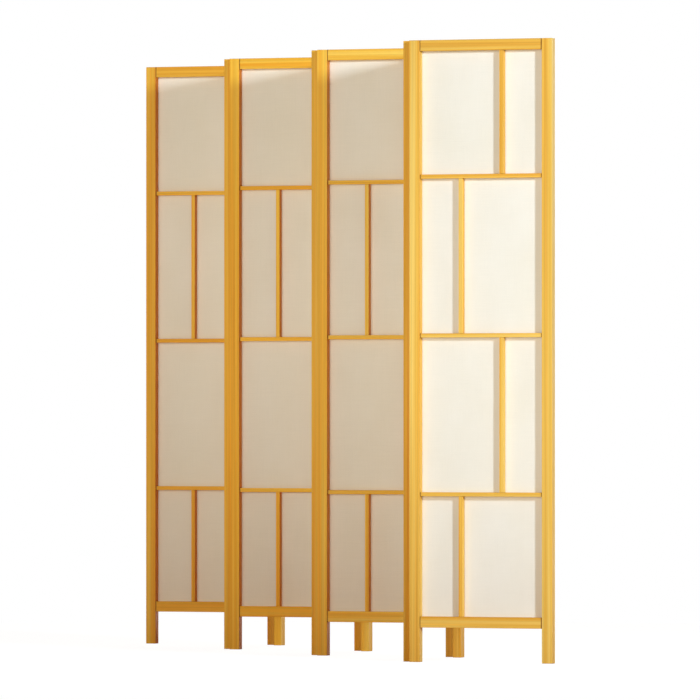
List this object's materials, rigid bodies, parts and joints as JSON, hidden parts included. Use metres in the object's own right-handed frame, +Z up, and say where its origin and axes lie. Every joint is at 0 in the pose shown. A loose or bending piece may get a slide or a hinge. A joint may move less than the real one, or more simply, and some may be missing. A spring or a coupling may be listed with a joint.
{
  "type": "folding room divider screen",
  "caption": "Free-standing folding screen: tall wooden frame panels with a bar lattice over stretched cloth, hinged edge to edge in a zigzag.",
  "frame": {"origin": "on the floor, under the middle of the standing screen's bounding box", "axes": "+X along the screen from the first panel to the last, +Y through the zigzag's depth towards the panels' backs, +Z up"},
  "size_m": [2.3398, 0.3288, 1.8],
  "materials": {
    "frame_wood": "satin honey-yellow lacquer over straight-grained softwood",
    "lattice_wood": "satin honey-yellow lacquer over straight-grained softwood",
    "cloth": "matt off-white plain weave",
    "hinge_brass": "aged satin brass"
  },
  "bodies": {
    "panel_1": {"panel_1_left_stile": "frame_wood", "panel_1_right_stile": "frame_wood", "panel_1_top_rail": "frame_wood", "panel_1_bottom_rail": "frame_wood", "panel_1_lattice": "lattice_wood", "panel_1_cloth": "cloth", "fold_1_left_leaf": "hinge_brass", "fold_1_pin": "hinge_brass"},
    "panel_2": {"panel_2_left_stile": "frame_wood", "panel_2_right_stile": "frame_wood", "panel_2_top_rail": "frame_wood", "panel_2_bottom_rail": "frame_wood", "panel_2_lattice": "lattice_wood", "panel_2_cloth": "cloth", "fold_1_right_leaf": "hinge_brass", "fold_2_left_leaf": "hinge_brass", "fold_2_pin": "hinge_brass"},
    "panel_3": {"panel_3_left_stile": "frame_wood", "panel_3_right_stile": "frame_wood", "panel_3_top_rail": "frame_wood", "panel_3_bottom_rail": "frame_wood", "panel_3_lattice": "lattice_wood", "panel_3_cloth": "cloth", "fold_2_right_leaf": "hinge_brass", "fold_3_left_leaf": "hinge_brass", "fold_3_pin": "hinge_brass"},
    "panel_4": {"panel_4_left_stile": "frame_wood", "panel_4_right_stile": "frame_wood", "panel_4_top_rail": "frame_wood", "panel_4_bottom_rail": "frame_wood", "panel_4_lattice": "lattice_wood", "panel_4_cloth": "cloth", "fold_3_right_leaf": "hinge_brass", "fold_4_left_leaf": "hinge_brass", "fold_4_pin": "hinge_brass"},
    "panel_5": {"panel_5_left_stile": "frame_wood", "panel_5_right_stile": "frame_wood", "panel_5_top_rail": "frame_wood", "panel_5_bottom_rail": "frame_wood", "panel_5_lattice": "lattice_wood", "panel_5_cloth": "cloth", "fold_4_right_leaf": "hinge_brass", "fold_5_left_leaf": "hinge_brass", "fold_5_pin": "hinge_brass"},
    "panel_6": {"panel_6_left_stile": "frame_wood", "panel_6_right_stile": "frame_wood", "panel_6_top_rail": "frame_wood", "panel_6_bottom_rail": "frame_wood", "panel_6_lattice": "lattice_wood", "panel_6_cloth": "cloth", "fold_5_right_leaf": "hinge_brass", "fold_6_left_leaf": "hinge_brass", "fold_6_pin": "hinge_brass"},
    "panel_7": {"panel_7_left_stile": "frame_wood", "panel_7_right_stile": "frame_wood", "panel_7_top_rail": "frame_wood", "panel_7_bottom_rail": "frame_wood", "panel_7_lattice": "lattice_wood", "panel_7_cloth": "cloth", "fold_6_right_leaf": "hinge_brass"}
  },
  "joints": [
    {"name": "fold_1", "type": "hinge", "parent": "panel_1", "child": "panel_2", "pos_m": [-0.83792, 0.14566, 0], "axis": [0, 0, -1], "range_deg": [-90, 90]},
    {"name": "fold_2", "type": "hinge", "parent": "panel_2", "child": "panel_3", "pos_m": [-0.50275, -0.14566, 0], "axis": [0, 0, 1], "range_deg": [-90, 90]},
    {"name": "fold_3", "type": "hinge", "parent": "panel_3", "child": "panel_4", "pos_m": [-0.16758, 0.14566, 0], "axis": [0, 0, -1], "range_deg": [-90, 90]},
    {"name": "fold_4", "type": "hinge", "parent": "panel_4", "child": "panel_5", "pos_m": [0.16758, -0.14566, 0], "axis": [0, 0, 1], "range_deg": [-90, 90]},
    {"name": "fold_5", "type": "hinge", "parent": "panel_5", "child": "panel_6", "pos_m": [0.50275, 0.14566, 0], "axis": [0, 0, -1], "range_deg": [-90, 90]},
    {"name": "fold_6", "type": "hinge", "parent": "panel_6", "child": "panel_7", "pos_m": [0.83792, -0.14566, 0], "axis": [0, 0, 1], "range_deg": [-90, 90]}
  ]
}
